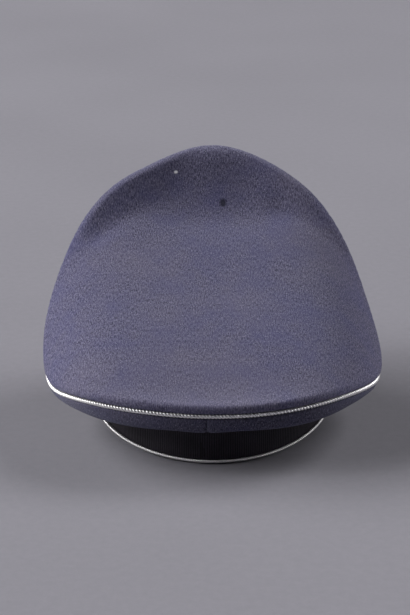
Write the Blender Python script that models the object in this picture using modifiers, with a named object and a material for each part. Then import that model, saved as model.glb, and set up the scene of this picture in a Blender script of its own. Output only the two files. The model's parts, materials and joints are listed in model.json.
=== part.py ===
# Peaked cap with a wide crown that stands high at the front, resting on a table, front towards -Y.
# Metres, +Z up. Everything is laid out with the band's lower rim in the plane z = 0 and the back at +Y,
# then the whole cap leans back until the edge of its peak meets the table.
# A turn is an angle in degrees round the cap from the middle of the back, positive to the wearer's left.

from collections import namedtuple
from math import atan2, cos, radians, sin

import bpy
import numpy as np

# Gap left between pieces that touch on the real cap
CLEARANCE = 0.0003

# Band, an oval ring round the head
BAND_HALF_WIDTH = 0.0868
BAND_HALF_LENGTH = 0.1055
BAND_HEIGHT = 0.046
BAND_WALL = 0.003

# Crown seen from above, along the centre of its piping
CROWN_HALF_WIDTH = 0.1228
CROWN_BACK_REACH = 0.1265
CROWN_FRONT_REACH = 0.1178
BACK_SQUARENESS = 2.5
FRONT_SQUARENESS = 1.6

# Crown piping over the band's lower rim
CROWN_BACK_HEIGHT = 0.0494
CROWN_FRONT_HEIGHT = 0.1415

# Cloth of the top, and the roll of its edge over the piping, to the middle of the cloth. The roll is
# tighter across the back, and widens between two turns. It meets the top at a share of the way out, and
# folds fade towards the rim by a power of that share.
TOP_CLOTH = 0.0016
EDGE_ROLL = 0.0045
BACK_ROLL = 0.0029
BACK_ROLL_END = 50.0
EDGE_ROLL_START = 100.0
ROLL_LEAN = 35.0
ROLL_RUN_ON = 0.95
TOP_FLATNESS = 5.0
FOLD_DEPTH = 0.005
FOLD_WIDTH = 0.012
FOLD_FADE = 8.0

# Cloth of the sides
SIDE_CLOTH = 0.0015
SIDE_SEAM_TURN = 105.0
BACK_SEAM_TURN = 1.9
SEAM_MARGIN = 1.5

# Where the cloths' outer corners sit round the crown's piping, in degrees up from straight out
TOP_SEAT = 78.0
SIDE_SEAT = -72.0

# Pipings
CROWN_PIPING_DIAMETER = 0.0033
BAND_PIPING_DIAMETER = 0.0021
BAND_PIPING_HEIGHT = 0.0025

# Peak, measured from the band's front: how far out, how far down, how far round on each side, then the
# form of its outline, and the share of its spread over which its corners settle to their level
PEAK_REACH = 0.042
PEAK_DROP = 0.027
PEAK_SPREAD = 62.0
PEAK_THICKNESS = 0.0022
PEAK_LEDGE = 0.003
PEAK_CORNER = 0.007
PEAK_SQUARENESS = 2.4
PEAK_FULLNESS = 0.75
PEAK_SETTLING = 0.55

# Fineness of the meshes
STATIONS = 72
TOP_RINGS = 10
ROLL_STEPS = 5
SIDE_STEPS = 7
PEAK_STATIONS = 24
PEAK_STEPS = 4

# The crown's edge from back to front, as shares of the climb from the back height to the front height
EdgeRow = namedtuple("EdgeRow", "turn left right")
EDGE = (
    EdgeRow(0, 0.000, 0.000),
    EdgeRow(20, 0.010, 0.012),
    EdgeRow(45, -0.055, -0.020),
    EdgeRow(65, -0.187, -0.151),
    EdgeRow(80, -0.217, -0.247),
    EdgeRow(95, -0.086, -0.237),
    EdgeRow(110, 0.182, -0.020),
    EdgeRow(125, 0.546, 0.404),
    EdgeRow(140, 0.783, 0.717),
    EdgeRow(155, 0.889, 0.879),
    EdgeRow(180, 1.000, 1.000),
)

# The top's middle line from back to front, as shares of its length and of its climb
MiddleRow = namedtuple("MiddleRow", "along climb")
MIDDLE = (
    MiddleRow(0.00, 0.000),
    MiddleRow(0.15, 0.095),
    MiddleRow(0.50, 0.345),
    MiddleRow(0.75, 0.525),
    MiddleRow(0.86, 0.625),
    MiddleRow(0.94, 0.840),
    MiddleRow(1.00, 1.000),
)

# Folds pressed into the top. aside is a share of the crown's half width, to the wearer's left, along is
# a share of the top's length from the back, depth and width are shares of FOLD_DEPTH and FOLD_WIDTH.
FoldRow = namedtuple("FoldRow", "aside along aside_end along_end depth width")
FOLDS = (
    FoldRow(0.70, 0.77, 0.28, 0.93, 1.0, 1.0),
    FoldRow(-0.80, 0.775, -0.47, 0.85, 0.6, 0.8),
)

# How the side cloth leaves the piping and meets the band. Leans are degrees outward from straight down
# and from straight up, and pulls are shares of the span between piping and band.
SideRow = namedtuple("SideRow", "turn crown_lean crown_pull band_lean band_pull")
SIDES = (
    SideRow(0, 8, 0.92, 88, 0.60),
    SideRow(40, 4, 0.66, 86, 0.52),
    SideRow(60, -6, 0.42, 84, 0.50),
    SideRow(80, -10, 0.36, 78, 0.46),
    SideRow(105, -6, 0.36, 60, 0.45),
    SideRow(135, -8, 0.35, 32, 0.38),
    SideRow(180, -8, 0.33, 18, 0.33),
)

# Colour, roughness and metallic value of each piece
Finish = namedtuple("Finish", "colour roughness metallic")
TOP_FINISH = Finish((0.075, 0.085, 0.15), 0.85, 0.0)
SIDE_FINISH = Finish((0.06, 0.07, 0.125), 0.85, 0.0)
BAND_FINISH = Finish((0.008, 0.008, 0.011), 0.75, 0.0)
PIPING_FINISH = Finish((0.72, 0.72, 0.74), 0.4, 0.6)
PEAK_FINISH = Finish((0.006, 0.006, 0.007), 0.25, 0.0)


def smooth_line(places, values, at):
    """Cubic spline through a table's rows, level at both ends."""
    places = np.asarray(places, dtype=float)
    gaps = np.diff(places)
    rises = np.diff(values) / gaps
    system = np.eye(len(places))
    pulls = np.zeros(len(places))
    for k in range(1, len(places) - 1):
        system[k, k - 1:k + 2] = gaps[k], 2 * (gaps[k - 1] + gaps[k]), gaps[k - 1]
        pulls[k] = 3 * (gaps[k] * rises[k - 1] + gaps[k - 1] * rises[k])
    slopes = np.linalg.solve(system, pulls)
    low = np.clip(np.searchsorted(places, at) - 1, 0, len(gaps) - 1)
    t = np.clip((at - places[low]) / gaps[low], 0.0, 1.0)
    values = np.asarray(values, dtype=float)
    start = values[low] * (1 + 2 * t) + slopes[low] * gaps[low] * t
    end = values[low + 1] * (3 - 2 * t) - slopes[low + 1] * gaps[low] * (1 - t)
    return start * (1 - t) ** 2 + end * t ** 2


def table_column(rows, column):
    return [getattr(row, column) for row in rows]


def oval(turns, half_width, half_length, squareness):
    """Plan of an oval at each turn; a squareness of 2 is an ellipse."""
    across = np.sin(np.radians(turns))
    along = np.cos(np.radians(turns))
    shares = np.abs(across / half_width) ** squareness + np.abs(along / half_length) ** squareness
    radius = shares ** (-1.0 / squareness)
    return np.stack([radius * across, radius * along], axis=-1)


def crown_line(turns):
    """Centre of the crown's piping at each turn."""
    backward = np.cos(np.radians(turns))
    reach = np.where(backward > 0, CROWN_BACK_REACH, CROWN_FRONT_REACH)
    squareness = FRONT_SQUARENESS + (BACK_SQUARENESS - FRONT_SQUARENESS) * (1 + backward) / 2
    plan = oval(turns, CROWN_HALF_WIDTH, reach, squareness)
    places = table_column(EDGE, "turn")
    left = smooth_line(places, table_column(EDGE, "left"), np.abs(turns))
    right = smooth_line(places, table_column(EDGE, "right"), np.abs(turns))
    climb = np.where(turns > 0, left, right)
    height = CROWN_BACK_HEIGHT + (CROWN_FRONT_HEIGHT - CROWN_BACK_HEIGHT) * climb
    return np.column_stack([plan, height])


def wrap(turns):
    return (turns + 180.0) % 360.0 - 180.0


def across_line(line, turns, step=0.5):
    """Outward and upward directions square to a line round the cap."""
    ahead = line(wrap(turns + step)) - line(wrap(turns - step))
    ahead /= np.linalg.norm(ahead, axis=1, keepdims=True)
    outward = np.cross([0.0, 0.0, 1.0], ahead)
    outward /= np.linalg.norm(outward, axis=1, keepdims=True)
    return outward, np.cross(ahead, outward)


def ring_turns():
    """Turns of the stations all round, with a flat across the middle of the back and of the front."""
    return (np.arange(STATIONS) + 0.5) * 360.0 / STATIONS - 180.0


def band_line(turns, outside=0.0, height=0.0):
    """Line round the band, outside its wall by a distance, at a height."""
    plan = oval(turns, BAND_HALF_WIDTH, BAND_HALF_LENGTH, 2.0)
    outward = plan / np.array([BAND_HALF_WIDTH, BAND_HALF_LENGTH]) ** 2
    outward /= np.linalg.norm(outward, axis=1, keepdims=True)
    plan = plan + outward * outside
    return np.column_stack([plan, np.full(len(turns), height)])


def cloth_seat(corner_turn, heading, thickness):
    """Middle of a cloth's end, as outward and upward from the piping, with its outer corner clear of it."""
    distance = CROWN_PIPING_DIAMETER / 2 + CLEARANCE
    corner = distance * np.array([cos(radians(corner_turn)), sin(radians(corner_turn))])
    outer_side = np.array([sin(radians(heading)), -cos(radians(heading))])
    if heading < 0:
        outer_side = -outer_side
    return corner - outer_side * thickness / 2


def level_of_middle(rim, y):
    """Height of the top's middle line at a place from back to front."""
    back = rim[np.argmax(rim[:, 1])]
    front = rim[np.argmin(rim[:, 1])]
    along = (back[1] - y) / (back[1] - front[1])
    climb = smooth_line(table_column(MIDDLE, "along"), table_column(MIDDLE, "climb"), along)
    return back[2] + (front[2] - back[2]) * climb


def fold_depth(rim, ring):
    """How far the folds press the top down at each point of a ring."""
    back, front = rim[:, 1].max(), rim[:, 1].min()
    depth = np.zeros(len(ring))
    for fold in FOLDS:
        start = np.array([fold.aside * CROWN_HALF_WIDTH, back + (front - back) * fold.along])
        end = np.array([fold.aside_end * CROWN_HALF_WIDTH, back + (front - back) * fold.along_end])
        run = end - start
        along = np.clip((ring[:, :2] - start) @ run / (run @ run), 0.0, 1.0)
        away = np.linalg.norm(ring[:, :2] - start - along[:, None] * run, axis=1)
        depth += FOLD_DEPTH * fold.depth * np.exp(-(away / (FOLD_WIDTH * fold.width)) ** 2)
    return depth


def top_ring(rim, share):
    """Ring of the top panel at a share of the way from its middle out to the rolled rim."""
    ring = rim * share
    drop = rim[:, 2] - level_of_middle(rim, rim[:, 1])
    ring[:, 2] = level_of_middle(rim, ring[:, 1]) + drop * share ** TOP_FLATNESS
    ring[:, 2] -= fold_depth(rim, ring) * (1 - share ** FOLD_FADE)
    return ring


def edge_roll(turns):
    """Radius of the rolled edge at each turn."""
    share = np.clip((np.abs(turns) - BACK_ROLL_END) / (EDGE_ROLL_START - BACK_ROLL_END), 0.0, 1.0)
    return BACK_ROLL + (EDGE_ROLL - BACK_ROLL) * share * share * (3 - 2 * share)


def roll_points(turns, angles):
    """Points on the rolled edge, each at its own angle round the roll, 0 outward and 90 on top."""
    seat = cloth_seat(TOP_SEAT, ROLL_LEAN, TOP_CLOTH)
    radius = edge_roll(turns)
    outward, upward = across_line(crown_line, turns)
    out = seat[0] + radius * (np.cos(np.radians(angles)) - sin(radians(ROLL_LEAN)))
    up = seat[1] + radius * (np.sin(np.radians(angles)) + cos(radians(ROLL_LEAN)))
    return crown_line(turns) + outward * out[:, None] + upward * up[:, None]


def roll_ends(turns):
    """Angle round the roll at which the cloth runs on, without a crease, into the top."""
    rim = roll_points(turns, np.full(len(turns), 90.0))
    inner = top_ring(rim, ROLL_RUN_ON) - rim
    outward, upward = across_line(crown_line, turns)
    inward_run = -np.sum(inner * outward, axis=1)
    rise = np.sum(inner * upward, axis=1)
    return 90.0 - np.degrees(np.arctan2(rise, inward_run))


def top_rows():
    """Rings of the top panel from near its middle, out, and over the roll down to the piping."""
    turns = ring_turns()
    ends = roll_ends(turns)
    rim = roll_points(turns, ends)
    rows = [top_ring(rim, (step + 1) / TOP_RINGS) for step in range(TOP_RINGS)]
    for step in range(ROLL_STEPS):
        share = (step + 1) / ROLL_STEPS
        rows.append(roll_points(turns, ends + (ROLL_LEAN - 90.0 - ends) * share))
    return rows


def side_rows(start, end):
    """Rows of a side panel from the crown's piping down to the band, between two turns."""
    between = np.concatenate([ring_turns(), ring_turns() + 360.0])
    seam_gap = np.degrees(CLEARANCE / 2 / BAND_HALF_WIDTH)
    inside = between[(between > start + SEAM_MARGIN) & (between < end - SEAM_MARGIN)]
    turns = wrap(np.concatenate([[start + seam_gap], inside, [end - seam_gap]]))
    places = table_column(SIDES, "turn")
    values = {name: smooth_line(places, table_column(SIDES, name), np.abs(turns))
              for name in SideRow._fields[1:]}
    outward, upward = across_line(crown_line, turns)
    crown_lean = np.radians(values["crown_lean"])
    seats = np.array([cloth_seat(SIDE_SEAT, lean - 90.0, SIDE_CLOTH) for lean in values["crown_lean"]])
    first = crown_line(turns) + outward * seats[:, :1] + upward * seats[:, 1:]
    falling = outward * np.sin(crown_lean)[:, None] - upward * np.cos(crown_lean)[:, None]
    band_lean = np.radians(values["band_lean"])
    last = band_line(turns, -BAND_WALL / 2, BAND_HEIGHT + CLEARANCE)
    last[:, 2] += np.sin(band_lean) * SIDE_CLOTH / 2
    band_outward, band_upward = across_line(band_line, turns)
    rising = band_outward * np.sin(band_lean)[:, None] + band_upward * np.cos(band_lean)[:, None]
    span = np.linalg.norm(last - first, axis=1)
    second = first + falling * (span * values["crown_pull"])[:, None]
    third = last + rising * (span * values["band_pull"])[:, None]
    rows = []
    for step in range(SIDE_STEPS + 1):
        t = step / SIDE_STEPS
        rows.append(first * (1 - t) ** 3 + second * 3 * t * (1 - t) ** 2
                    + third * 3 * t ** 2 * (1 - t) + last * t ** 3)
    return rows


def peak_rows():
    """Rows of the peak from the band outward, with the middle of its edge in one plane, the table's."""
    aside = np.linspace(-1.0, 1.0, PEAK_STATIONS + 1)
    turns = wrap(180.0 + aside * PEAK_SPREAD)
    height = BAND_PIPING_HEIGHT - BAND_PIPING_DIAMETER / 2 - CLEARANCE - PEAK_THICKNESS / 2
    swell = (1 - np.abs(aside) ** PEAK_SQUARENESS) ** PEAK_FULLNESS
    reach = PEAK_CORNER + (PEAK_REACH - PEAK_CORNER) * swell
    edge = np.array([band_line(turns[k:k + 1], reach[k])[0] for k in range(len(turns))])
    slope = PEAK_DROP / (2 * BAND_HALF_LENGTH + PEAK_REACH)
    fade = np.clip((1 - np.abs(aside)) / PEAK_SETTLING, 0.0, 1.0)
    drop = (BAND_HALF_LENGTH - edge[:, 1]) * slope * fade * fade * (3 - 2 * fade)
    rows = [band_line(turns, CLEARANCE, height)]
    for step in range(PEAK_STEPS + 1):
        share = step / PEAK_STEPS
        out = PEAK_LEDGE + (reach - PEAK_LEDGE) * share
        row = np.array([band_line(turns[k:k + 1], out[k])[0] for k in range(len(turns))])
        row[:, 2] = height - (drop + height) * share
        rows.append(row)
    return rows


def loft(name, rows, closed_round, pole=None):
    """Open mesh through rows of points, whose faces look outward when the rows run outward or down."""
    count = len(rows[0])
    points = [tuple(point) for row in rows for point in row]
    reach = count if closed_round else count - 1
    faces = []
    for row in range(len(rows) - 1):
        for k in range(reach):
            nearest = row * count + k
            beside = row * count + (k + 1) % count
            faces.append((nearest, beside, beside + count, nearest + count))
    if pole is not None:
        points.append(tuple(pole))
        faces.extend((len(points) - 1, (k + 1) % count, k) for k in range(count))
    mesh = bpy.data.meshes.new(name)
    mesh.from_pydata(points, [], faces)
    mesh.shade_smooth()
    return mesh


def material(name, finish):
    """Plain surface with a colour, a roughness and a metallic value."""
    surface = bpy.data.materials.new(name)
    surface.use_nodes = True
    shader = surface.node_tree.nodes["Principled BSDF"]
    shader.inputs["Base Color"].default_value = (*finish.colour, 1.0)
    shader.inputs["Roughness"].default_value = finish.roughness
    shader.inputs["Metallic"].default_value = finish.metallic
    return surface


def place(name, data, finish, parent, collection):
    """Object for one piece, on the cap's frame."""
    piece = bpy.data.objects.new(name, data)
    data.materials.append(material(name, finish))
    piece.parent = parent
    collection.objects.link(piece)
    return piece


def thicken(piece, thickness, offset):
    wall = piece.modifiers.new("wall", "SOLIDIFY")
    wall.thickness = thickness
    wall.offset = offset
    wall.use_even_offset = True


def make_top(parent, collection):
    rows = top_rows()
    middle = (0.0, 0.0, level_of_middle(rows[TOP_RINGS - 1], np.zeros(1))[0])
    mesh = loft("crown_top", rows, True, middle)
    thicken(place("crown_top", mesh, TOP_FINISH, parent, collection), TOP_CLOTH, 0.0)


def make_sides(parent, collection):
    panels = {
        "side_panel_left": (BACK_SEAM_TURN, SIDE_SEAM_TURN),
        "side_panel_front": (SIDE_SEAM_TURN, 360.0 - SIDE_SEAM_TURN),
        "side_panel_right": (360.0 - SIDE_SEAM_TURN, 360.0 + BACK_SEAM_TURN),
    }
    for name, (start, end) in panels.items():
        mesh = loft(name, side_rows(start, end), False)
        thicken(place(name, mesh, SIDE_FINISH, parent, collection), SIDE_CLOTH, 0.0)


def make_band(parent, collection):
    turns = ring_turns()
    mesh = loft("band", [band_line(turns, 0.0, BAND_HEIGHT), band_line(turns)], True)
    thicken(place("band", mesh, BAND_FINISH, parent, collection), BAND_WALL, -1.0)


def make_peak(parent, collection):
    piece = place("peak", loft("peak", peak_rows(), False), PEAK_FINISH, parent, collection)
    thicken(piece, PEAK_THICKNESS, 0.0)
    return piece


def make_cord(name, points, diameter, parent, collection):
    """Cord sewn in all round."""
    curve = bpy.data.curves.new(name, "CURVE")
    curve.dimensions = "3D"
    curve.bevel_depth = diameter / 2
    curve.bevel_resolution = 2
    line = curve.splines.new("POLY")
    line.points.add(len(points) - 1)
    for point, place_on_line in zip(line.points, points):
        point.co = (*place_on_line, 1.0)
    line.use_cyclic_u = True
    line.use_smooth = True
    place(name, curve, PIPING_FINISH, parent, collection)


def world_points(piece):
    """Corners of a piece's finished mesh, in the world."""
    finished = piece.evaluated_get(bpy.context.evaluated_depsgraph_get())
    mesh = finished.to_mesh()
    points = np.array([finished.matrix_world @ vertex.co for vertex in mesh.vertices])
    finished.to_mesh_clear()
    return points


def rest_on_table(frame, peak, pieces):
    """Lean the cap back on the band's back edge until the peak is down, and centre it on the origin."""
    bpy.context.view_layer.update()
    down = [atan2(-z, BAND_HALF_LENGTH - y) for x, y, z in world_points(peak)]
    frame.rotation_euler.x = -max(down)
    bpy.context.view_layer.update()
    points = np.concatenate([world_points(piece) for piece in pieces])
    low, high = points.min(axis=0), points.max(axis=0)
    frame.location = (-(low[0] + high[0]) / 2, -(low[1] + high[1]) / 2, -low[2])
    bpy.context.view_layer.update()


def clear_scene():
    for thing in list(bpy.data.objects):
        bpy.data.objects.remove(thing)


def main():
    clear_scene()
    collection = bpy.data.collections.new("peaked_cap")
    bpy.context.scene.collection.children.link(collection)
    frame = bpy.data.objects.new("cap_frame", None)
    collection.objects.link(frame)
    turns = ring_turns()
    make_top(frame, collection)
    make_cord("crown_piping", crown_line(turns), CROWN_PIPING_DIAMETER, frame, collection)
    make_sides(frame, collection)
    make_band(frame, collection)
    cord_outside = CLEARANCE + BAND_PIPING_DIAMETER / 2
    cord = band_line(turns, cord_outside, BAND_PIPING_HEIGHT)
    make_cord("band_piping", cord, BAND_PIPING_DIAMETER, frame, collection)
    peak = make_peak(frame, collection)
    pieces = [thing for thing in collection.objects if thing.type != "EMPTY"]
    rest_on_table(frame, peak, pieces)


main()
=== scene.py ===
import json
from math import cos, radians, sin

import bmesh
import bpy
import numpy as np
from mathutils import Matrix, Vector


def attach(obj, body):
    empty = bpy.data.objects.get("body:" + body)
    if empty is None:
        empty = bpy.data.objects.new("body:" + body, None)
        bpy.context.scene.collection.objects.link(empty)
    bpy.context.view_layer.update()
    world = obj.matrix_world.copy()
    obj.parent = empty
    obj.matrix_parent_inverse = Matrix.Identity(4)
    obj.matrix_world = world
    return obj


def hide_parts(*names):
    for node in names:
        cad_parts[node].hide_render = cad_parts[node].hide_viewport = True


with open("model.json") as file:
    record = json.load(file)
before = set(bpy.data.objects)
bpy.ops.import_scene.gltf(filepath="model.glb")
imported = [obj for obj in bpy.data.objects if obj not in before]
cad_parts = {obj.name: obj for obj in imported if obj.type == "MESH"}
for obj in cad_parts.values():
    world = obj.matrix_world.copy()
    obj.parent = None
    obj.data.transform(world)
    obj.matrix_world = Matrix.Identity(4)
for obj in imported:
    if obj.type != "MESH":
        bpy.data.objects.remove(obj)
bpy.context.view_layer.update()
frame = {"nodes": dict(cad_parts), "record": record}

print("frame loaded", sorted(frame["nodes"]))

# The cap's own frame has the band's lower rim level at height 0 and the back at +y.
# A turn is an angle in degrees round the cap from the middle of the back, positive to
# the wearer's left. All lengths are metres.


def nodePoints(name):
    points = np.array([vertex.co for vertex in frame["nodes"][name].data.vertices])
    return np.unique(points.round(7), axis=0)


rimMount = next(mount for mount in frame["record"]["mounts"] if mount["name"] == "head_rim")
leanSin, leanCos = -rimMount["axis"][1], -rimMount["axis"][2]
leanBack = np.array([[1.0, 0.0, 0.0], [0.0, leanCos, leanSin], [0.0, -leanSin, leanCos]])
bandCorners = nodePoints("band") @ leanBack
bandLow, bandHigh = bandCorners.min(axis=0), bandCorners.max(axis=0)
capOrigin = leanBack @ [(bandLow[0] + bandHigh[0]) / 2, (bandLow[1] + bandHigh[1]) / 2, bandLow[2]]


def toCap(points):
    return (points - capOrigin) @ leanBack


def toWorld(points):
    return points @ leanBack.T + capOrigin


# Node building, with sockets that add up like numbers
class Wire:
    def __init__(self, graph, socket):
        self.graph, self.socket = graph, socket

    def maths(self, operation, *others):
        values = dict(enumerate([self, *others]))
        return self.graph.node("ShaderNodeMath", {"operation": operation}, values)

    def __add__(self, other):
        return self.maths("ADD", other)

    def __sub__(self, other):
        return self.maths("SUBTRACT", other)

    def __rsub__(self, other):
        return self.graph.node("ShaderNodeMath", {"operation": "SUBTRACT"}, {0: other, 1: self})

    def __mul__(self, other):
        return self.maths("MULTIPLY", other)

    def __truediv__(self, other):
        return self.maths("DIVIDE", other)

    __radd__ = __add__

    def wave(self):
        return self.maths("SINE")

    def between(self, low, high):  # 0 at low, 1 at high, held in between
        return self.graph.node("ShaderNodeMapRange", {"clamp": True}, {0: self, 1: low, 2: high})


class Graph:
    def __init__(self, tree):
        self.tree = tree

    def node(self, kind, settings=None, values=None, out=0):
        made = self.tree.nodes.new(kind)
        for key, value in (settings or {}).items():
            setattr(made, key, value)
        for key, value in (values or {}).items():
            socket = made.inputs[key]
            if isinstance(value, Wire):
                self.tree.links.new(value.socket, socket)
            elif socket.type == "RGBA":
                socket.default_value = (*value, 1.0)
            else:
                socket.default_value = value
        return Wire(self, made.outputs[out]) if made.outputs else None

    def mixColour(self, share, first, second):
        values = {0: share, 6: first, 7: second}
        return self.node("ShaderNodeMix", {"data_type": "RGBA"}, values, out=2)

    def vectors(self, operation, values, out=0):
        return self.node("ShaderNodeVectorMath", {"operation": operation}, values, out)

    def parts(self, vector):
        split = self.node("ShaderNodeSeparateXYZ", None, {0: vector})
        return [Wire(self, output) for output in split.socket.node.outputs]

    def noise(self, vector, scale, detail, roughness, dimensions="3D"):
        values = {"Vector": vector, "Scale": scale, "Detail": detail, "Roughness": roughness}
        return self.node("ShaderNodeTexNoise", {"noise_dimensions": dimensions}, values)

    def stretched(self, vector, scale):
        return self.node("ShaderNodeMapping", None, {"Vector": vector, "Scale": scale})


def newLook(name):
    material = bpy.data.materials.new(name)
    material.use_nodes = True
    material.node_tree.nodes.clear()
    return material, Graph(material.node_tree)


def finishLook(graph, height, values):  # the height is in metres
    bump = graph.node("ShaderNodeBump", None, {"Height": height, "Distance": 1.0})
    shader = graph.node("ShaderNodeBsdfPrincipled", None, {**values, "Normal": bump})
    graph.node("ShaderNodeOutputMaterial", None, {0: shader})


# Shapes shared by the pieces
def smoothLine(places, values, at):  # cubic spline through a table's rows, level at both ends
    places, values = np.asarray(places, float), np.asarray(values, float)
    gaps = np.diff(places)
    rises = np.diff(values) / gaps
    system, pulls = np.eye(len(places)), np.zeros(len(places))
    for k in range(1, len(places) - 1):
        system[k, k - 1:k + 2] = gaps[k], 2 * (gaps[k - 1] + gaps[k]), gaps[k - 1]
        pulls[k] = 3 * (gaps[k] * rises[k - 1] + gaps[k - 1] * rises[k])
    slopes = np.linalg.solve(system, pulls)
    low = np.clip(np.searchsorted(places, at) - 1, 0, len(gaps) - 1)
    t = np.clip((at - places[low]) / gaps[low], 0.0, 1.0)
    start = values[low] * (1 + 2 * t) + slopes[low] * gaps[low] * t
    end = values[low + 1] * (3 - 2 * t) - slopes[low + 1] * gaps[low] * (1 - t)
    return start * (1 - t) ** 2 + end * t ** 2


def wrapTurn(turns):
    return (turns + 180.0) % 360.0 - 180.0


# stations along the CAD cord, waves kept, cord's diameter, the clearance beside it, and the
# distance under which a grown piece's points are joined
loops = {"stations": 72, "harmonics": 26, "crownCord": 0.0033, "clearance": 0.0003, "weld": 1e-6}


def readCord(node):  # distance out and height of a cord's middle, as waves of the turn
    points = toCap(nodePoints(node))
    step = 360.0 / loops["stations"]
    turns = np.degrees(np.arctan2(points[:, 0], points[:, 1]))
    station = np.round((turns + 180.0) / step - 0.5).astype(int) % loops["stations"]
    middles = np.array([points[station == k].mean(axis=0) for k in range(loops["stations"])])
    out = np.hypot(middles[:, 0], middles[:, 1])
    return [np.fft.rfft(values) / loops["stations"] for values in (out, middles[:, 2])]


crownWaves = readCord("crown_piping")


def waveSum(waves, turns):
    angle = np.radians(turns + 180.0 - 180.0 / loops["stations"])
    total = np.full(len(turns), waves[0].real)
    for n in range(1, loops["harmonics"]):
        total += 2 * (waves[n] * np.exp(1j * n * angle)).real
    return total


def crownLine(turns):
    out, height = waveSum(crownWaves[0], turns), waveSum(crownWaves[1], turns)
    angle = np.radians(turns)
    return np.column_stack([out * np.sin(angle), out * np.cos(angle), height])


def acrossLine(line, turns):  # outward and upward directions square to a line round the cap
    ahead = line(wrapTurn(turns + 0.5)) - line(wrapTurn(turns - 0.5))
    ahead /= np.linalg.norm(ahead, axis=1, keepdims=True)
    outward = np.cross([0.0, 0.0, 1.0], ahead)
    outward /= np.linalg.norm(outward, axis=1, keepdims=True)
    return outward, np.cross(ahead, outward)


bandSize = {"halfWidth": 0.0868, "halfLength": 0.1055, "height": 0.046, "wall": 0.003}


def bandLine(turns, outside=0.0, height=0.0):
    across, along = np.sin(np.radians(turns)), np.cos(np.radians(turns))
    halves = np.array([bandSize["halfWidth"], bandSize["halfLength"]])
    radius = ((across / halves[0]) ** 2 + (along / halves[1]) ** 2) ** -0.5
    plan = np.stack([radius * across, radius * along], axis=-1)
    outward = plan / halves ** 2
    outward /= np.linalg.norm(outward, axis=1, keepdims=True)
    outside = np.broadcast_to(outside, len(turns))[:, None]
    return np.column_stack([plan + outward * outside, np.broadcast_to(height, len(turns))])


def clothSeat(cornerTurn, heading, thickness):  # middle of a cloth's end beside the crown's piping
    distance = loops["crownCord"] / 2 + loops["clearance"]
    corner = distance * np.array([cos(radians(cornerTurn)), sin(radians(cornerTurn))])
    side = np.array([sin(radians(heading)), -cos(radians(heading))])
    return corner - (side if heading >= 0 else -side) * thickness / 2


def addMesh(name, points, faces, flat, material):
    mesh = bpy.data.meshes.new(name)
    mesh.from_pydata(toWorld(points).tolist(), [], faces)
    mesh.shade_smooth()
    if flat is not None:  # the cloth laid flat, in metres, for its weave
        corners = np.zeros(len(mesh.loops), dtype=np.int32)
        mesh.loops.foreach_get("vertex_index", corners)
        laid = mesh.uv_layers.new(name="flat")
        laid.data.foreach_set("uv", flat[corners].ravel().astype(np.float32))
    mesh.materials.append(material)
    piece = bpy.data.objects.new(name, mesh)
    bpy.context.scene.collection.objects.link(piece)
    return piece


def gridFaces(first, count, rows, closed):
    faces = []
    for row in range(rows):
        for k in range(count if closed else count - 1):
            near, beside = first + row * count + k, first + row * count + (k + 1) % count
            faces.append((near, beside, beside + count, near + count))
    return faces


def thicken(piece, thickness):
    wall = piece.modifiers.new("wall", "SOLIDIFY")
    wall.thickness, wall.offset, wall.use_even_offset = thickness, 0.0, True


def settle(piece, node):
    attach(piece, "root")
    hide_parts(node)


# Wool cloth of the crown
woolLook = {
    "dark": (0.0200, 0.0190, 0.050), "light": (0.184, 0.175, 0.278), "pale": (0.48, 0.47, 0.55),
    "bluer": (0.062, 0.064, 0.168), "warmer": (0.180, 0.162, 0.214),
    "twillPitch": 0.0009, "twillSlope": 1.7, "twillDepth": 0.00004,
    "fibreWidth": 0.0008, "fibreLength": 0.0030, "fibreDepth": 0.00012,
    "threadWidth": 0.0006, "threadLength": 0.0012, "threadDepth": 0.00007,
    "threadNoise": (1.0, 3.0, 0.65, "2D"), "fibreShare": 0.55,
    # noise scale, detail and roughness; where the noise starts and ends to show, and how much
    "clouds": (30.0, 4.0, 0.62), "cloudRange": (0.42, 0.66), "cloudShare": 0.42,
    "tints": (11.0, 3.0, 0.6), "tintRange": (0.45, 0.62), "tintShare": 0.20,
    "melangeRange": (0.38, 0.63), "paleRange": (0.64, 0.72), "paleShare": 0.55,
    "roughness": 0.92, "smoother": 0.12, "specular": 0.22,
    "sheen": 0.16, "sheenRoughness": 0.45, "sheenTint": (0.74, 0.78, 1.0),
    "markEdge": (1.5, 0.6),  # a mark fades out between these times its radius
}

# marks of wear: start, end, radius, colour, share of cover; places in the cap's own frame
woolMarks = {
    "lint": ((0.0277, -0.0983, 0.1380), (0.0283, -0.0981, 0.1380), 0.0010,
             (0.85, 0.84, 0.86), 1.0),
    "nip": ((-0.0080, -0.0808, 0.1192), (-0.0080, -0.0822, 0.1203), 0.0024,
            (0.006, 0.005, 0.016), 0.85),
    "rubLeft": ((0.0777, 0.0800, 0.0664), (0.0808, 0.0782, 0.0659), 0.0007,
                (0.36, 0.34, 0.42), 0.7),
    "speckLow": ((0.0914, 0.0836, 0.0587), (0.0916, 0.0836, 0.0587), 0.0009,
                 (0.45, 0.43, 0.50), 0.8),
    "rubRight": ((-0.0882, 0.0866, 0.0626), (-0.0952, 0.0876, 0.0584), 0.0012,
                 (0.28, 0.26, 0.34), 0.4),
    "rubRightLow": ((-0.0887, 0.0913, 0.0612), (-0.0921, 0.0919, 0.0592), 0.0010,
                    (0.28, 0.26, 0.34), 0.35),
}


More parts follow.
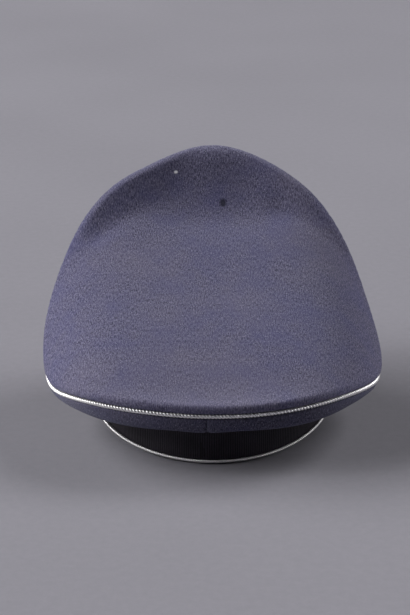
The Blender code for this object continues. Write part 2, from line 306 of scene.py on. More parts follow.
def markCover(graph, place, start, end, radius):  # 1 on a short streak, 0 beyond its edge
    start, end = toWorld(np.array([start, end]))
    run = end - start
    away = graph.vectors("SUBTRACT", {0: place, 1: start.tolist()})
    share = graph.vectors("DOT_PRODUCT", {0: away, 1: (run / (run @ run)).tolist()}, out=1)
    nearest = graph.vectors("SCALE", {0: run.tolist(), "Scale": share.between(0.0, 1.0)})
    distance = graph.vectors("DISTANCE", {0: away, 1: nearest}, out=1)
    outer, inner = woolLook["markEdge"]
    return distance.between(radius * outer, radius * inner)


def woolCloth(name, look, shade, marks):
    material, graph = newLook(name)
    flat = graph.node("ShaderNodeUVMap", {"uv_map": "flat"})
    place = graph.node("ShaderNodeTexCoord", out=3)
    across, along, _ = graph.parts(flat)
    twill = ((across + along * look["twillSlope"]) * (2 * np.pi / look["twillPitch"])).wave()
    weave = []
    for wide, long in (("fibreWidth", "fibreLength"), ("threadWidth", "threadLength")):
        stretched = graph.stretched(flat, (1 / look[wide], 1 / look[long], 1.0))
        weave.append(graph.noise(stretched, *look["threadNoise"]))
    fibres, threads = weave
    clouds, tint = (graph.noise(place, *look[key]) for key in ("clouds", "tints"))
    melange = fibres * look["fibreShare"] + threads * (1 - look["fibreShare"])
    melange = melange.between(*look["melangeRange"])
    # shade scales every colour of the wool down: on the sides it is painted shade, a darker copy
    # of the top's wool for the strip that lies in shadow
    dark, light, bluer, warmer = ([channel * shade for channel in look[key]]
                                  for key in ("dark", "light", "bluer", "warmer"))
    colour = graph.mixColour(melange, dark, light)
    for noise, key, tone in ((clouds, "cloud", bluer), (tint, "tint", warmer),
                             (threads, "pale", look["pale"])):
        cover = noise.between(*look[key + "Range"]) * look[key + "Share"]
        colour = graph.mixColour(cover, colour, tone)
    for start, end, radius, tone, share in marks.values():
        streak = markCover(graph, place, start, end, radius) * share
        colour = graph.mixColour(streak, colour, tone)
    height = (twill * look["twillDepth"] + fibres * look["fibreDepth"]
              + threads * look["threadDepth"])
    finishLook(graph, height, {
        "Base Color": colour, "Roughness": look["roughness"] - melange * look["smoother"],
        "Specular IOR Level": look["specular"], "Sheen Weight": look["sheen"],
        "Sheen Roughness": look["sheenRoughness"], "Sheen Tint": look["sheenTint"]})
    return material


# Top of the crown: one panel from the high front, down over a crease, to the back and
# over its rolled edge
crownTop = {
    "cloth": 0.0016, "seat": 78.0, "rollLean": 35.0, "rollSquareness": 2.6, "squareFrom": 10.0,
    "rollArc": 1.12, "runOn": 0.95, "flatness": 5.0, "halfWidth": 0.1228,
    # turn and radius, where the tight back roll starts to widen and ends
    "rolls": ((50.0, 0.0029), (100.0, 0.0045)),
    "round": 432, "rings": 30, "ringEase": 0.86, "blockShare": 0.46, "rollRows": 14,
    "flat": (0.262, 0.330), "area": 0.0640, "flatSpan": (-0.14, 0.14, 600),
    # middle line from back to front: (share of the length, share of the climb)
    "middle": ((0.0, 0.0), (0.15, 0.095), (0.5, 0.345), (0.75, 0.525), (0.86, 0.625),
               (0.94, 0.84), (1.0, 1.0)),
    # pressed folds: (aside, along, aside at the end, along at the end, depth, width), the
    # last two in metres
    "folds": ((0.70, 0.77, 0.28, 0.93, 0.0060, 0.0115),
              (-0.80, 0.775, -0.44, 0.86, 0.0044, 0.0105)),
    "foldFade": 8,
}

# short pinches where the top is eased into its seam
pinches = {
    "seed": 11, "depth": 0.00042, "width": 0.0014, "pitch": 0.0064,
    "widthVaries": (0.6, 1.4), "depthVaries": (0.35, 1.0), "pitchVaries": (0.6, 1.5),
    "smoothFrom": 38.0, "smoothTo": 100.0, "smoothShare": 0.3,  # turns where they nearly vanish
    "topFrom": 0.93, "topShare": 0.5,
    # angle round the roll and share of the depth
    "roll": ((-55.0, 0.3), (-40.0, 1.0), (5.0, 1.0), (90.0, 0.55), (130.0, 0.5)),
}


def rollPoints(turns, angles):
    lean = radians(crownTop["rollLean"])
    seat = clothSeat(crownTop["seat"], crownTop["rollLean"], crownTop["cloth"])
    (backTurn, backRoll), (edgeTurn, edgeRoll) = crownTop["rolls"]
    share = np.clip((np.abs(wrapTurn(turns)) - backTurn) / (edgeTurn - backTurn), 0.0, 1.0)
    radius = backRoll + (edgeRoll - backRoll) * share * share * (3 - 2 * share)
    outward, upward = acrossLine(crownLine, turns)
    # each point's cloth faces its angle, on a curve that is round below and squarer on top
    form = np.interp(angles, [crownTop["rollLean"] - 90.0, crownTop["squareFrom"]],
                     [2.0, crownTop["rollSquareness"]])
    cosine, sine = np.cos(np.radians(angles)), np.sin(np.radians(angles))
    across, rise = (np.abs(wave) ** (1 / (form - 1)) for wave in (cosine, sine))
    size = radius / (across ** form + rise ** form) ** (1 / form)
    out = seat[0] - radius * sin(lean) + np.sign(cosine) * across * size
    up = seat[1] + radius * cos(lean) + np.sign(angles) * rise * size
    return crownLine(turns) + outward * out[:, None] + upward * up[:, None]


topEnds = {}  # back and front end of the top's middle line, on its rolled edge


def middleHeight(y):
    back, front = topEnds["back"], topEnds["front"]
    climb = smoothLine(*zip(*crownTop["middle"]), (back[1] - y) / (back[1] - front[1]))
    return back[2] + (front[2] - back[2]) * climb


def foldDepth(points):
    back, front = topEnds["back"][1], topEnds["front"][1]
    depth = np.zeros(len(points))
    for *places, deep, wide in crownTop["folds"]:
        start, end = (np.array([aside * crownTop["halfWidth"], back + (front - back) * along])
                      for aside, along in (places[:2], places[2:]))
        run = end - start
        share = np.clip((points[:, :2] - start) @ run / (run @ run), 0.0, 1.0)
        away = np.linalg.norm(points[:, :2] - start - share[:, None] * run, axis=1)
        depth += deep * np.exp(-(away / wide) ** 2)
    return depth


def topPoint(rim, shares):
    points = rim * shares[:, None]
    drop = rim[:, 2] - middleHeight(rim[:, 1])
    points[:, 2] = middleHeight(points[:, 1]) + drop * shares ** crownTop["flatness"]
    points[:, 2] -= foldDepth(points) * (1 - shares ** crownTop["foldFade"])
    return points


def rollEnds(turns):  # angle round the roll where the cloth runs on into the top
    rim = rollPoints(turns, np.full(len(turns), 90.0))
    inner = topPoint(rim, np.full(len(turns), crownTop["runOn"])) - rim
    outward, upward = acrossLine(crownLine, turns)
    rise, inward = np.sum(inner * upward, axis=1), -np.sum(inner * outward, axis=1)
    return 90.0 - np.degrees(np.arctan2(rise, inward))


def pinchDepth(turns, lengths):
    chance = np.random.default_rng(pinches["seed"])
    total, depth, place = lengths[-1], np.zeros(len(turns)), 0.0
    while place < total:
        wide = pinches["width"] * chance.uniform(*pinches["widthVaries"])
        away = np.abs(lengths - place)
        away = np.minimum(away, total - away)
        depth += chance.uniform(*pinches["depthVaries"]) * np.exp(-(away / wide) ** 2)
        place += pinches["pitch"] * chance.uniform(*pinches["pitchVaries"])
    smooth = (turns > pinches["smoothFrom"]) & (turns < pinches["smoothTo"])
    return pinches["depth"] * depth * np.where(smooth, pinches["smoothShare"], 1.0)


def flatten(points):  # lays the top out flat along its middle line
    y = np.linspace(*crownTop["flatSpan"])
    lengths = np.concatenate([[0.0], np.cumsum(np.hypot(np.diff(y), np.diff(middleHeight(y))))])
    return np.column_stack([points[:, 0], np.interp(points[:, 1], y, lengths)])


def topBlock():  # square grid rounded into a disc, for the middle of the top
    side = crownTop["round"] // 4
    line = np.linspace(-1.0, 1.0, side + 1)
    left, back = (grid.ravel() for grid in np.meshgrid(line, line, indexing="ij"))
    wide = np.abs(left) > np.abs(back)
    longer = np.where(wide, left, back)
    angle = np.where(wide, np.pi / 4 * back / np.where(wide, left, 1.0),
                     np.pi / 2 - np.pi / 4 * left / np.where(back == 0, 1.0, back))
    x, y = longer * np.cos(angle), longer * np.sin(angle)
    turns, shares = np.degrees(np.arctan2(x, y)), np.hypot(x, y) * crownTop["blockShare"]
    points = topPoint(rollPoints(turns, rollEnds(turns)), shares)
    faces = [(a, d, c, b) for a, b, c, d in gridFaces(0, side + 1, side, False)]
    border = np.flatnonzero(np.maximum(np.abs(left), np.abs(back)) > 1 - 1e-9)
    station = np.round((turns[border] + 180.0) * crownTop["round"] / 360.0).astype(int)
    edge = np.zeros(crownTop["round"], dtype=int)
    edge[station % crownTop["round"]] = border
    return points, faces, edge


def makeCrownTop(material):
    half = 180.0 / loops["stations"]
    ends = np.array([-half, 180.0 - half])
    topEnds["back"], topEnds["front"] = rollPoints(ends, np.array([90.0, 90.0]))
    for _ in range(3):  # the ends and the roll settle on each other
        topEnds["back"], topEnds["front"] = rollPoints(ends, rollEnds(ends))
    block, faces, blockEdge = topBlock()
    count, cover = crownTop["round"], crownTop["blockShare"]
    turns = np.arange(count) * 360.0 / count - 180.0
    ends = rollEnds(turns)
    rim = rollPoints(turns, ends)
    outward, upward = acrossLine(crownLine, turns)
    lengths = np.linalg.norm(np.diff(rim, axis=0), axis=1)
    pinch = pinchDepth(turns, np.concatenate([[0.0], np.cumsum(lengths)]))
    rows, flats = [], []
    spacing = np.linspace(0.0, 1.0, crownTop["rings"] + 1)[1:] ** crownTop["ringEase"]
    for share in cover + (1 - cover) * spacing:
        row = topPoint(rim, np.full(count, share))
        near = np.clip((share - pinches["topFrom"]) / (1 - pinches["topFrom"]), 0.0, 1.0)
        row[:, 2] -= pinches["topShare"] * pinch * near ** 2
        rows.append(row)
        flats.append(flatten(row))
    rimFlat = flatten(rim)
    for step in range(1, crownTop["rollRows"] + 1):
        angles = ends + (crownTop["rollLean"] - 90.0 - ends) * step / crownTop["rollRows"]
        row = rollPoints(turns, angles)
        cosine, sine = np.cos(np.radians(angles)), np.sin(np.radians(angles))
        out = outward * cosine[:, None] + upward * sine[:, None]
        deep = np.interp(angles, *zip(*pinches["roll"]))
        rows.append(row - out * (pinch * deep)[:, None])
        run = np.linalg.norm(row - rim, axis=1) * crownTop["rollArc"]
        flats.append(rimFlat + outward[:, :2] * run[:, None])
    first = len(block)
    for k in range(count):
        beside = (k + 1) % count
        faces.append((int(blockEdge[k]), int(blockEdge[beside]), first + beside, first + k))
    faces += gridFaces(first, count, len(rows) - 1, True)
    points, flat = np.concatenate([block, *rows]), np.concatenate([flatten(block), *flats])
    piece = addMesh("crownTop", points, faces, flat, material)
    thicken(piece, crownTop["cloth"])
    settle(piece, "crown_top")


# Sides of the crown: three panels between the piping and the band
sides = {
    # shade 0.56 darkens the sides' wool: painted shade, as the strip lies in the crown's shadow
    "cloth": 0.0015, "seat": -72.0, "shade": 0.56, "sideSeam": 105.0, "backSeam": 1.9,
    "pitch": 0.8, "rows": 34,
    "seamDip": 0.0007, "seamWidth": 0.0016, "seamEase": 0.35,  # how far stations crowd the seams
    # the slack cloth hangs lower round the back seam
    "sag": 0.0022, "sagTurn": 1.9, "sagWidth": 7.5, "sagForm": 1.5,
    # turn, lean and pull at the piping, lean and pull at the band
    "table": ((0, 8, 0.92, 88, 0.60), (40, 4, 0.66, 86, 0.52), (60, -6, 0.42, 84, 0.50),
              (80, -10, 0.36, 78, 0.46), (105, -6, 0.36, 60, 0.45), (135, -8, 0.35, 32, 0.38),
              (180, -8, 0.33, 18, 0.33)),
    # flat size and area of the cloth of each panel
    "flats": {"sidePanelLeft": ((0.205, 0.062), 0.0091), "sidePanelFront": ((0.36, 0.105), 0.0202),
              "sidePanelRight": ((0.21, 0.062), 0.0095)},
}


def sidePoints(turns, shares):
    table = list(zip(*sides["table"]))
    crownLean, crownPull, bandLean, bandPull = (smoothLine(table[0], column, np.abs(turns))
                                                for column in table[1:])
    outward, upward = acrossLine(crownLine, turns)
    seats = np.array([clothSeat(sides["seat"], lean - 90.0, sides["cloth"]) for lean in crownLean])
    first = crownLine(turns) + outward * seats[:, :1] + upward * seats[:, 1:]
    crownLean, bandLean = np.radians(crownLean), np.radians(bandLean)
    falling = outward * np.sin(crownLean)[:, None] - upward * np.cos(crownLean)[:, None]
    last = bandLine(turns, -bandSize["wall"] / 2, bandSize["height"] + loops["clearance"])
    last[:, 2] += np.sin(bandLean) * sides["cloth"] / 2
    bandOut, bandUp = acrossLine(bandLine, turns)
    rising = bandOut * np.sin(bandLean)[:, None] + bandUp * np.cos(bandLean)[:, None]
    span = np.linalg.norm(last - first, axis=1)
    second = first + falling * (span * crownPull)[:, None]
    third = last + rising * (span * bandPull)[:, None]
    rows = [first * (1 - t) ** 3 + second * 3 * t * (1 - t) ** 2 + third * 3 * t ** 2 * (1 - t)
            + last * t ** 3 for t in shares]
    return np.stack(rows)


def sidePanel(name, node, start, end, material):
    gap = np.degrees(loops["clearance"] / 2 / bandSize["halfWidth"])
    turns = np.linspace(start + gap, end - gap, int((end - start) / sides["pitch"]))
    even = (turns - turns[0]) / (turns[-1] - turns[0])
    eased = 0.5 - 0.5 * np.cos(np.pi * even)  # closer together at the seams
    crowd = sides["seamEase"]
    turns = wrapTurn(turns[0] + (turns[-1] - turns[0]) * (crowd * eased + (1 - crowd) * even))
    shares = np.linspace(0.0, 1.0, sides["rows"] + 1)
    cloth = sidePoints(turns, shares)
    normal = np.cross(np.gradient(cloth, axis=1), np.gradient(cloth, axis=0))
    normal /= np.linalg.norm(normal, axis=2, keepdims=True)
    steps = np.linalg.norm(np.diff(cloth[0], axis=0), axis=1)
    lengths = np.concatenate([[0.0], np.cumsum(steps)])
    fromSeam = np.minimum(lengths, lengths[-1] - lengths)
    dip = sides["seamDip"] * np.exp(-(fromSeam / sides["seamWidth"]) ** 2)
    cloth = cloth - normal * dip[None, :, None]
    slack = np.exp(-(np.abs(turns - sides["sagTurn"]) / sides["sagWidth"]) ** 2)
    hang = np.sin(np.pi * shares) ** sides["sagForm"]
    cloth[:, :, 2] -= sides["sag"] * hang[:, None] * slack[None, :]
    drops = np.cumsum(np.linalg.norm(np.diff(cloth, axis=0), axis=2), axis=0)
    falls = np.concatenate([np.zeros((1, len(turns))), drops])
    flat = np.stack([np.broadcast_to(lengths, falls.shape), falls], axis=-1).reshape(-1, 2)
    faces = gridFaces(0, len(turns), sides["rows"], False)
    piece = addMesh(name, cloth.reshape(-1, 3), faces, flat, material)
    thicken(piece, sides["cloth"])
    settle(piece, node)


def makeSides(material):
    seam, back = sides["sideSeam"], sides["backSeam"]
    sidePanel("sidePanelLeft", "side_panel_left", back, seam, material)
    sidePanel("sidePanelFront", "side_panel_front", seam, 360.0 - seam, material)
    sidePanel("sidePanelRight", "side_panel_right", 360.0 - seam, 360.0 + back, material)


# Geometry Nodes, for the pieces that follow a loop
def newTree(name, sizes):
    tree = bpy.data.node_groups.new(name, "GeometryNodeTree")
    tree.interface.new_socket("Loop", in_out="INPUT", socket_type="NodeSocketGeometry")
    for label, kind in sizes.items():
        tree.interface.new_socket(label, in_out="INPUT", socket_type="NodeSocket" + kind)
    tree.interface.new_socket("Piece", in_out="OUTPUT", socket_type="NodeSocketGeometry")
    graph = Graph(tree)
    given = tree.nodes.new("NodeGroupInput")
    wires = {socket.name: Wire(graph, socket) for socket in given.outputs if socket.name}
    return tree, graph, wires


def closeTree(tree, graph, shape, material):
    shape = graph.node("GeometryNodeSetShadeSmooth", None, {"Geometry": shape})
    shape = graph.node("GeometryNodeRealizeInstances", None, {0: shape})
    shape = graph.node("GeometryNodeSetMaterial", None, {"Geometry": shape, "Material": material})
    tree.links.new(shape.socket, tree.nodes.new("NodeGroupOutput").inputs[0])


def growPiece(name, loop, tree, values):  # grown level, then leaned back with the cap
    mesh = bpy.data.meshes.new(name + "Loop")
    mesh.from_pydata(loop.tolist(), [(k, (k + 1) % len(loop)) for k in range(len(loop))], [])
    carrier = bpy.data.objects.new(name + "Loop", mesh)
    bpy.context.scene.collection.objects.link(carrier)
    grow = carrier.modifiers.new("grow", "NODES")
    grow.node_group = tree
    for item in tree.interface.items_tree:
        if item.in_out == "INPUT" and item.name in values:
            grow[item.identifier] = values[item.name]
    bpy.context.view_layer.update()
    ready = carrier.evaluated_get(bpy.context.evaluated_depsgraph_get())
    grown = bpy.data.meshes.new_from_object(ready)
    bpy.data.objects.remove(carrier)
    work = bmesh.new()
    work.from_mesh(grown)
    bmesh.ops.remove_doubles(work, verts=work.verts, dist=loops["weld"])
    bmesh.ops.recalc_face_normals(work, faces=work.faces)
    lean = Matrix.Translation(capOrigin) @ Matrix(leanBack).to_4x4()
    bmesh.ops.transform(work, matrix=lean, verts=work.verts)
    work.to_mesh(grown)
    work.free()
    grown.name = name
    piece = bpy.data.objects.new(name, grown)
    bpy.context.scene.collection.objects.link(piece)
    return piece


# Pipings: two bright strands laid round each other
cords = {
    "crown": {"diameter": loops["crownCord"], "lay": 0.0048, "stepsPerLay": 14, "profile": 16,
              "hollow": 0.40},
    "band": {"diameter": 0.0021, "lay": 0.0036, "stepsPerLay": 12, "profile": 12, "hollow": 0.32},
    "bandHeight": 0.0025,
    # painted shade: the dark colour painted into the grooves between the strands
    "bright": (1.0, 0.99, 1.0), "paintedGrooveShade": (0.20, 0.19, 0.22), "paintedGrooveShadeEnd": 0.28,
    "dust": (0.42, 0.40, 0.38), "dustNoise": (120.0, 2.0, 0.5), "dustRange": (0.55, 0.8),
    "dustShare": 0.2, "threadNoise": (2600.0, 2.0, 0.6), "threadDepth": 0.0001,
    "metal": 0.75, "roughness": 0.26, "rougher": 0.25, "specular": 0.6,
    "sheen": 1.0, "sheenRoughness": 0.5,
}


def cordLook():
    material, graph = newLook("metalThreadCord")
    lobe = graph.node("ShaderNodeAttribute", {"attribute_name": "lobe"}, out=2)
    place = graph.node("ShaderNodeTexCoord", out=3)
    threads = graph.noise(place, *cords["threadNoise"])
    dust = graph.noise(place, *cords["dustNoise"]).between(*cords["dustRange"])
    # the grooves between the strands are painted dark as painted shade; the strands' tops take the
    # bright colour and the metal
    bright = lobe.between(0.0, cords["paintedGrooveShadeEnd"])
    colour = graph.mixColour(bright, cords["paintedGrooveShade"], cords["bright"])
    colour = graph.mixColour(dust * cords["dustShare"], colour, cords["dust"])
    finishLook(graph, threads * cords["threadDepth"], {
        "Base Color": colour, "Metallic": bright * cords["metal"],
        "Roughness": cords["roughness"] + threads * cords["rougher"],
        "Specular IOR Level": cords["specular"], "Sheen Weight": cords["sheen"],
        "Sheen Roughness": cords["sheenRoughness"], "Sheen Tint": cords["bright"]})
    return material


def cordTree():
    tree, graph, given = newTree("twistedCord", {
        "Diameter": "Float", "Turns": "Int", "Steps": "Int", "Profile": "Int",
        "Hollow": "Float", "Material": "Material"})
    line = graph.node("GeometryNodeMeshToCurve", None, {"Mesh": given["Loop"]})
    line = graph.node("GeometryNodeResampleCurve", None, {"Curve": line, "Count": given["Steps"]})
    line = graph.node("GeometryNodeSetCurveNormal", {"mode": "Z_UP"}, {"Curve": line})
    share = graph.node("GeometryNodeInputIndex") / given["Steps"]
    line = graph.node("GeometryNodeSetCurveTilt", None,
                      {"Curve": line, "Tilt": share * given["Turns"] * (2 * np.pi)})
    radius = given["Diameter"] * 0.5
    ring = graph.node("GeometryNodeCurvePrimitiveCircle", {"mode": "RADIUS"},
                      {"Resolution": given["Profile"], "Radius": radius})
    place = graph.node("GeometryNodeInputPosition")
    lobe = (graph.parts(place)[0] / radius).maths("ABSOLUTE")
    pulled = graph.vectors("SCALE", {0: place, "Scale": 1 - given["Hollow"] * (1 - lobe)})
    ring = graph.node("GeometryNodeStoreNamedAttribute", {"data_type": "FLOAT", "domain": "POINT"},
                      {"Geometry": ring, "Name": "lobe", "Value": lobe})
    ring = graph.node("GeometryNodeSetPosition", None, {"Geometry": ring, "Position": pulled})
    shape = graph.node("GeometryNodeCurveToMesh", None, {"Curve": line, "Profile Curve": ring})
    closeTree(tree, graph, shape, given["Material"])
    return tree


def lineLength(points):
    return float(np.linalg.norm(points - np.roll(points, 1, axis=0), axis=1).sum())


loopTurns = np.arange(720) / 2.0 - 180.0


def makePipings(material):
    tree = cordTree()
    outside = loops["clearance"] + cords["band"]["diameter"] / 2
    lines = {
        "crownPiping": (crownLine(loopTurns), cords["crown"], "crown_piping", "crown_cord"),
        "bandPiping": (bandLine(loopTurns, outside, cords["bandHeight"]), cords["band"],
                       "band_piping", "band_cord"),
    }
    for name, (line, cord, node, slot) in lines.items():
        lays = round(lineLength(line) / cord["lay"])
        piece = growPiece(name, line, tree, {
            "Diameter": cord["diameter"], "Turns": lays, "Steps": lays * cord["stepsPerLay"],
            "Profile": cord["profile"], "Hollow": cord["hollow"], "Material": material})
        settle(piece, node)


# Band: black braid with fine upright ribs
band = {
    "ribs": 372, "stepsPerRib": 6, "ribDepth": 0.00036, "edge": 0.0008,
    "edgeSteps": 3, "profile": 36,
    # the paler colour is painted on the rib crests as a painted highlight, and on random fuzz as a
    # paler tone
    "black": (0.0060, 0.0044, 0.0086), "paleFuzzAndRibHighlight": (0.046, 0.037, 0.058),
    "fuzz": (900.0, 3.0, 0.6), "fuzzRange": (0.5, 0.8), "fuzzShare": 0.3, "fuzzDepth": 0.00012,
    "ribRange": (0.35, 1.0), "ribShare": 0.6, "broad": (60.0, 2.0, 0.5), "broadRange": (0.2, 0.6),
    "weftPitch": 0.0011, "weftDepth": 0.00005,
    "roughness": 0.72, "smoother": 0.12, "specular": 0.35, "sheen": 0.06, "sheenRoughness": 0.4,
    # the braid's ends, butted near the back: start, end and radius
    "joints": (((0.0085, 0.1052, 0.004), (0.0085, 0.1052, 0.016), 0.0006),
               ((0.0064, 0.1053, 0.006), (0.0064, 0.1053, 0.012), 0.0004)),
    "jointShare": 0.8, "jointBlack": (0.001, 0.001, 0.0015),
}


def bandLook():
    material, graph = newLook("blackBraid")
    place = graph.node("ShaderNodeTexCoord", out=3)
    rib = graph.node("ShaderNodeAttribute", {"attribute_name": "rib"}, out=2)
    _, y, z = graph.parts(place)
    weft = ((z * leanCos + y * leanSin) * (2 * np.pi / band["weftPitch"])).wave()
    fuzz = graph.noise(place, *band["fuzz"])
    broad = graph.noise(place, *band["broad"]).between(*band["broadRange"])
    # rib crests painted lighter, a painted highlight where light catches the ribs; the fuzz noise
    # adds a random paler tone; both are made patchy by the broad noise
    fuzzAndRibHighlight = (rib.between(*band["ribRange"]) * band["ribShare"]
            + fuzz.between(*band["fuzzRange"]) * band["fuzzShare"]) * broad
    colour = graph.mixColour(fuzzAndRibHighlight, band["black"], band["paleFuzzAndRibHighlight"])
    for joint in band["joints"]:
        cover = markCover(graph, place, *joint) * band["jointShare"]
        colour = graph.mixColour(cover, colour, band["jointBlack"])
    finishLook(graph, weft * band["weftDepth"] + fuzz * band["fuzzDepth"], {
        "Base Color": colour, "Roughness": band["roughness"] - rib * band["smoother"],
        "Specular IOR Level": band["specular"], "Sheen Weight": band["sheen"],
        "Sheen Roughness": band["sheenRoughness"]})
    return material


def bandTree():
    tree, graph, given = newTree("ribbedRing", {
        "Height": "Float", "Wall": "Float", "Edge": "Float", "Edge Steps": "Int",
        "Profile": "Int", "Ribs": "Int", "Steps": "Int", "Rib Depth": "Float",
        "Material": "Material"})
    line = graph.node("GeometryNodeMeshToCurve", None, {"Mesh": given["Loop"]})
    line = graph.node("GeometryNodeResampleCurve", None,
                      {"Curve": line, "Count": given["Ribs"] * given["Steps"]})
    line = graph.node("GeometryNodeSetCurveNormal", {"mode": "Z_UP"}, {"Curve": line})
    phase = graph.node("GeometryNodeInputIndex") / given["Steps"] * (2 * np.pi)
    rib = phase.maths("COSINE") * 0.5 + 0.5
    line = graph.node("GeometryNodeStoreNamedAttribute", {"data_type": "FLOAT", "domain": "POINT"},
                      {"Geometry": line, "Name": "rib", "Value": rib})
    box = graph.node("GeometryNodeCurvePrimitiveQuadrilateral", {"mode": "RECTANGLE"},
                     {"Width": given["Wall"], "Height": given["Height"]})
    box = graph.node("GeometryNodeFilletCurve", {"mode": "POLY"},
                     {"Curve": box, "Count": given["Edge Steps"], "Radius": given["Edge"],
                      "Limit Radius": True})
    box = graph.node("GeometryNodeResampleCurve", None, {"Curve": box, "Count": given["Profile"]})
    shape = graph.node("GeometryNodeCurveToMesh", None, {"Curve": line, "Profile Curve": box})
    raised = graph.node("GeometryNodeInputNamedAttribute", {"data_type": "FLOAT"}, {"Name": "rib"})
    normal = graph.node("GeometryNodeInputNormal")
    dip = graph.vectors("SCALE", {0: normal, "Scale": (raised - 1) * given["Rib Depth"]})
    shape = graph.node("GeometryNodeSetPosition", None, {"Geometry": shape, "Offset": dip})
    closeTree(tree, graph, shape, given["Material"])
    return tree


def makeBand(material):
    line = bandLine(loopTurns, -bandSize["wall"] / 2, bandSize["height"] / 2)
    piece = growPiece("ribbedBand", line, bandTree(), {
        "Height": bandSize["height"], "Wall": bandSize["wall"], "Edge": band["edge"],
        "Edge Steps": band["edgeSteps"], "Profile": band["profile"], "Ribs": band["ribs"],
        "Steps": band["stepsPerRib"], "Rib Depth": band["ribDepth"], "Material": material})
    settle(piece, "band")


# Peak: plain black leather
peak = {
    "reach": 0.042, "drop": 0.027, "spread": 62.0, "thickness": 0.0022, "ledge": 0.003,
    "corner": 0.007, "squareness": 2.4, "fullness": 0.75, "settling": 0.55,
    "stations": 128, "steps": 26, "bevel": 0.0007, "bevelSteps": 3, "bevelFrom": 50.0,
    "black": (0.0055, 0.0055, 0.006), "scuff": (0.03, 0.029, 0.03), "scuffShare": 0.4,
    "scuffStretch": (260.0, 60.0, 60.0), "scuffNoise": (1.0, 3.0, 0.7), "scuffRange": (0.66, 0.8),
    "grainScale": 950.0, "grainEnd": 0.35, "grainDepth": 0.00003,
    "soft": (60.0, 3.0, 0.6), "softDepth": 0.0002,
    "roughness": 0.42, "softRougher": 0.14, "scuffRougher": 0.2, "specular": 0.25,
}


def leatherLook():
    material, graph = newLook("blackLeather")
    place = graph.node("ShaderNodeTexCoord", out=3)
    grain = graph.node("ShaderNodeTexVoronoi", {"feature": "DISTANCE_TO_EDGE"},
                       {"Vector": place, "Scale": peak["grainScale"]})
    soft = graph.noise(place, *peak["soft"])
    scuffs = graph.noise(graph.stretched(place, peak["scuffStretch"]), *peak["scuffNoise"])
    scuffs = scuffs.between(*peak["scuffRange"])
    colour = graph.mixColour(scuffs * peak["scuffShare"], peak["black"], peak["scuff"])
    height = grain.between(0.0, peak["grainEnd"]) * peak["grainDepth"] + soft * peak["softDepth"]
    rough = peak["roughness"] + soft * peak["softRougher"] + scuffs * peak["scuffRougher"]
    finishLook(graph, height, {
        "Base Color": colour, "Roughness": rough, "Specular IOR Level": peak["specular"]})
    return material


def makePeak(material):
    aside = np.linspace(-1.0, 1.0, peak["stations"] + 1)
    turns = wrapTurn(180.0 + aside * peak["spread"])
    height = (cords["bandHeight"] - cords["band"]["diameter"] / 2 - loops["clearance"]
              - peak["thickness"] / 2)
    full = (1 - np.abs(aside) ** peak["squareness"]) ** peak["fullness"]
    reach = peak["corner"] + (peak["reach"] - peak["corner"]) * full
    edge = bandLine(turns, reach)
    slope = peak["drop"] / (2 * bandSize["halfLength"] + peak["reach"])
    fade = np.clip((1 - np.abs(aside)) / peak["settling"], 0.0, 1.0)
    drop = (bandSize["halfLength"] - edge[:, 1]) * slope * fade * fade * (3 - 2 * fade)
    rows = [bandLine(turns, loops["clearance"], height)]
    for share in np.linspace(0.0, 1.0, peak["steps"] + 1):
        out = peak["ledge"] + (reach - peak["ledge"]) * share
        rows.append(bandLine(turns, out, height - (drop + height) * share))
    faces = gridFaces(0, len(turns), len(rows) - 1, False)
    piece = addMesh("leatherPeak", np.concatenate(rows), faces, None, material)
    thicken(piece, peak["thickness"])
    soften = piece.modifiers.new("soften", "BEVEL")
    soften.width, soften.segments = peak["bevel"], peak["bevelSteps"]
    soften.limit_method, soften.angle_limit = "ANGLE", radians(peak["bevelFrom"])
    settle(piece, "peak")


makePipings(cordLook())
print("pipings laid")
makeBand(bandLook())
print("band ribbed")
makeCrownTop(woolCloth("topWool", woolLook, 1.0, woolMarks))
print("crown top shaped")
# the sides get the top's wool darkened by painted shade, for the strip that lies in shadow
makeSides(woolCloth("sideWoolPaintedShade", woolLook, sides["shade"], {}))
print("sides shaped")
makePeak(leatherLook())
print("peak shaped")


# Floor, light and camera
studio = {
    "floor": (0.242, 0.237, 0.272), "darker": 0.9, "patchRange": (0.35, 0.65),
    "broad": (3.0, 2.0, 0.5), "fine": (160.0, 3.0, 0.7), "tooth": (700.0, 2.0, 0.5),
    "toothDepth": 0.0001, "roughness": 0.85,
    "flatRadius": 14.0, "bendRadius": 3.0, "wallTop": 12.0, "bendSteps": 13, "round": 96,
    "world": (0.56, 0.56, 0.60), "worldStrength": 0.01,
    "lightSize": 4.5, "lightDistance": 9.0, "lightColour": (1.0, 0.99, 0.98),
    "middle": (0.0, 0.0, 0.08),
    "lights": {  # name: direction and energy
        "leftLow": ((1.0, 0.0, 0.30), 252.0),
        "leftHigh": ((1.0, 0.0, 0.75), 306.0),
        "leftFront": ((1.0, -0.5, 0.70), 396.0),
        "leftBack": ((1.0, 0.3, 0.70), 270.0),
        "rightLow": ((-1.0, -0.1, 0.38), 243.0),
        "rightFront": ((-1.0, -0.5, 0.90), 396.0),
    },
}


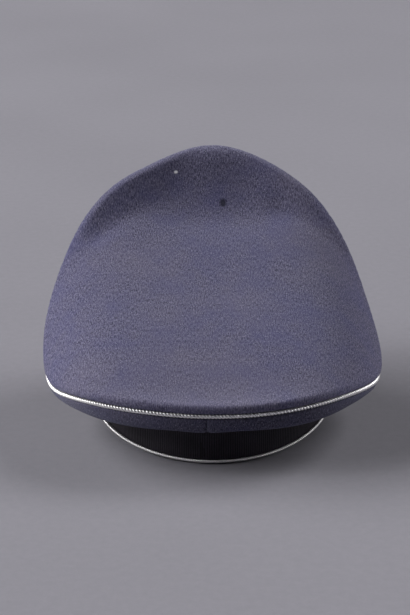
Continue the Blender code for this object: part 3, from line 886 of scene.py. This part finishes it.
def makeFloor():
    material, graph = newLook("paperFloor")
    place = graph.node("ShaderNodeTexCoord", out=3)
    tooth, broad, fine = (graph.noise(place, *studio[key]) for key in ("tooth", "broad", "fine"))
    patchy = (broad * 0.5 + fine * 0.5).between(*studio["patchRange"])
    darker = [channel * studio["darker"] for channel in studio["floor"]]
    colour = graph.mixColour(patchy, studio["floor"], darker)
    finishLook(graph, tooth * studio["toothDepth"],
               {"Base Color": colour, "Roughness": studio["roughness"]})
    flat, bend, count = studio["flatRadius"], studio["bendRadius"], studio["round"]
    profile = [(flat + bend * sin(a), bend - bend * cos(a))
               for a in np.linspace(0.0, np.pi / 2, studio["bendSteps"])]
    profile.append((flat + bend, studio["wallTop"]))  # the paper sweeps up far off, all round
    angles = np.arange(count) * 2 * np.pi / count
    points = [(radius * cos(a), radius * sin(a), rise) for radius, rise in profile for a in angles]
    faces = [face[::-1] for face in gridFaces(0, count, len(profile) - 1, True)]
    mesh = bpy.data.meshes.new("floor")
    mesh.from_pydata(points, [], faces + [tuple(range(count))])
    mesh.shade_smooth()
    mesh.materials.append(material)
    floor = bpy.data.objects.new("floor", mesh)
    bpy.context.scene.collection.objects.link(floor)


def makeLight(name, direction, energy):
    lamp = bpy.data.lights.new(name, "AREA")
    lamp.shape, lamp.size, lamp.energy = "DISK", studio["lightSize"], energy
    lamp.color = studio["lightColour"]
    light = bpy.data.objects.new(name, lamp)
    direction = Vector(direction).normalized()
    light.location = Vector(studio["middle"]) + direction * studio["lightDistance"]
    light.rotation_euler = direction.to_track_quat("Z", "Y").to_euler()
    bpy.context.scene.collection.objects.link(light)


photoCamera = {"elevation": 19.628, "distance": 1.4, "aim": (0.00563, 0.00756, 0.07858),
               "lens": 110.80, "sensor": 36.0, "farthest": 50.0}


def makeCamera():
    rise = radians(photoCamera["elevation"])
    back = Vector((0.0, cos(rise), sin(rise)))
    data = bpy.data.cameras.new("photoCamera")
    data.lens, data.sensor_width = photoCamera["lens"], photoCamera["sensor"]
    data.clip_end = photoCamera["farthest"]
    camera = bpy.data.objects.new("photoCamera", data)
    camera.location = Vector(photoCamera["aim"]) + back * photoCamera["distance"]
    camera.rotation_euler = back.to_track_quat("Z", "Y").to_euler()
    bpy.context.scene.collection.objects.link(camera)
    bpy.context.scene.camera = camera


def makeWorld():
    world = bpy.data.worlds.new("studio")
    world.use_nodes = True
    shade = world.node_tree.nodes["Background"]
    shade.inputs["Color"].default_value = (*studio["world"], 1.0)
    shade.inputs["Strength"].default_value = studio["worldStrength"]
    bpy.context.scene.world = world


# whites burn out as they do in the photograph
bpy.context.scene.view_settings.view_transform = "Standard"
makeFloor()
for lightName, (direction, energy) in studio["lights"].items():
    makeLight(lightName, direction, energy)
makeCamera()
makeWorld()
print("stage set")
